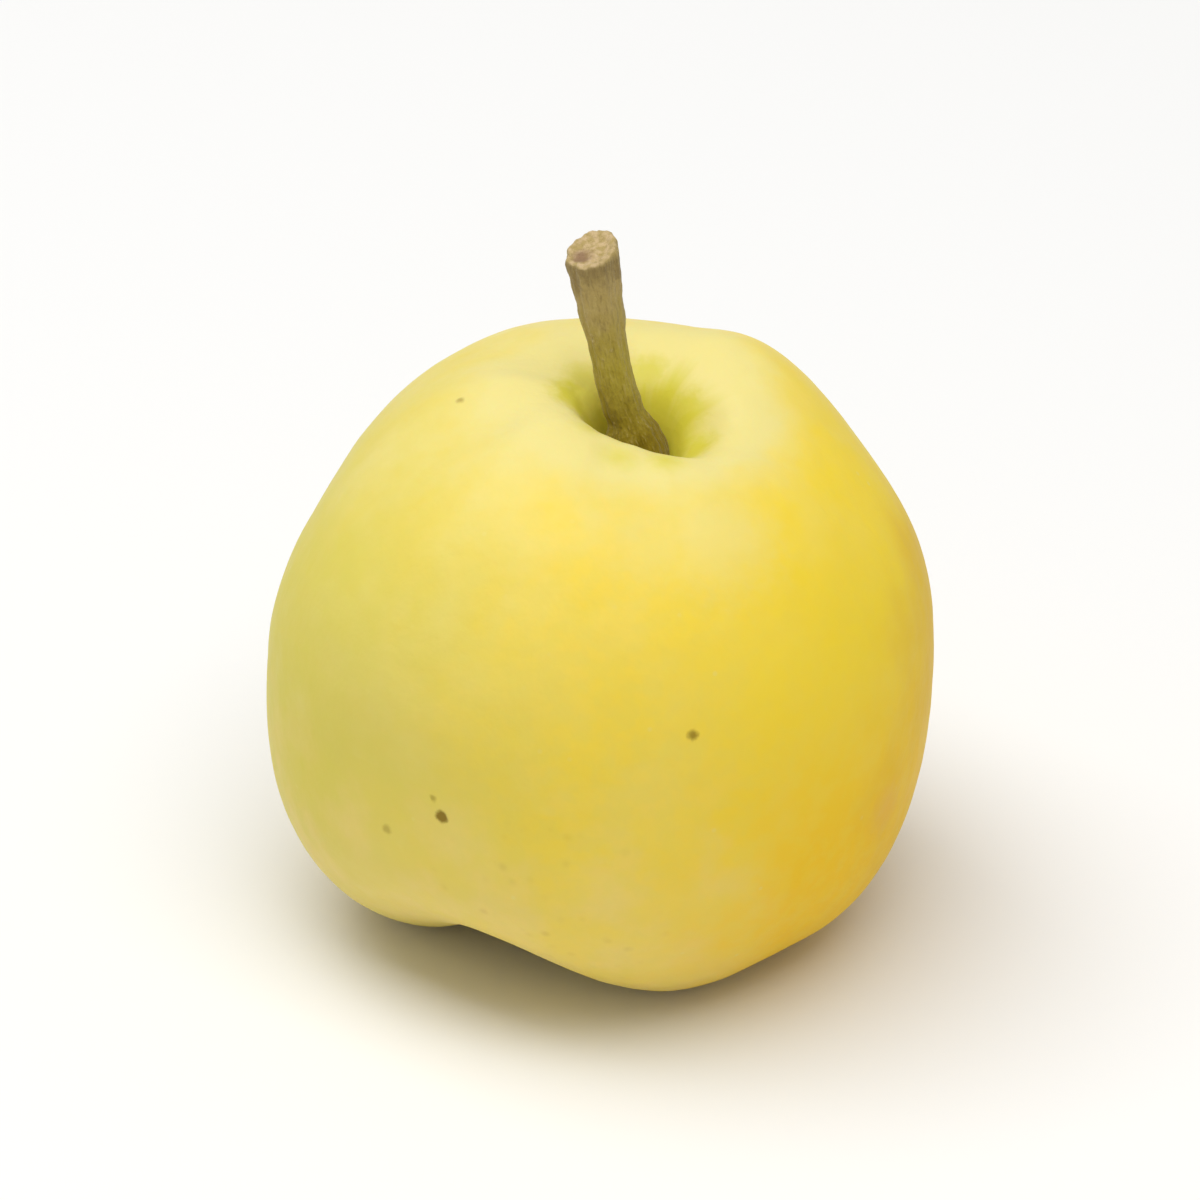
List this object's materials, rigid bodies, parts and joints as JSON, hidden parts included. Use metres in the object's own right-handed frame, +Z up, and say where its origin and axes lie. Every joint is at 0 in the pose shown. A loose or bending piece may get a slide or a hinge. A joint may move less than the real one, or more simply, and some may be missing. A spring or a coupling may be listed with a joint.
{
  "type": "hawthorn berry",
  "caption": "Whole yellow-green hawthorn berry standing on the lobes around its calyx basin, with its woody stem on top and the dried remains of the flower underneath.",
  "frame": {"origin": "on the ground, under the middle of the whole berry's bounding box", "axes": "+Z up through the fruit towards its stem, +X to the right as the berry is seen from its front, -Y towards that front"},
  "size_m": [0.0278, 0.028, 0.0318],
  "materials": {
    "skin": "waxy yellow-green fruit skin, semi-matte, with soft cream highlights and a few brown specks",
    "stem_bark": "dry tan-grey bark, olive-brown at the foot, matte",
    "dried_disc": "dark dried flower tissue, matte",
    "dried_sepal": "tan to reddish-brown papery sepal, matte",
    "dried_thread": "dark brown dried thread, matte"
  },
  "bodies": {
    "root": {"fruit": "skin", "stem": "stem_bark", "calyx_disc": "dried_disc", "sepal_1": "dried_sepal", "sepal_2": "dried_sepal", "sepal_3": "dried_sepal", "sepal_4": "dried_sepal", "sepal_5": "dried_sepal", "style_1": "dried_thread", "style_2": "dried_thread", "style_3": "dried_thread", "style_4": "dried_thread", "style_5": "dried_thread", "stamen_1": "dried_thread", "stamen_2": "dried_thread", "stamen_3": "dried_thread", "stamen_4": "dried_thread", "stamen_5": "dried_thread", "stamen_6": "dried_thread", "stamen_7": "dried_thread", "stamen_8": "dried_thread", "stamen_9": "dried_thread", "stamen_10": "dried_thread", "stamen_11": "dried_thread", "stamen_12": "dried_thread"}
  },
  "joints": []
}
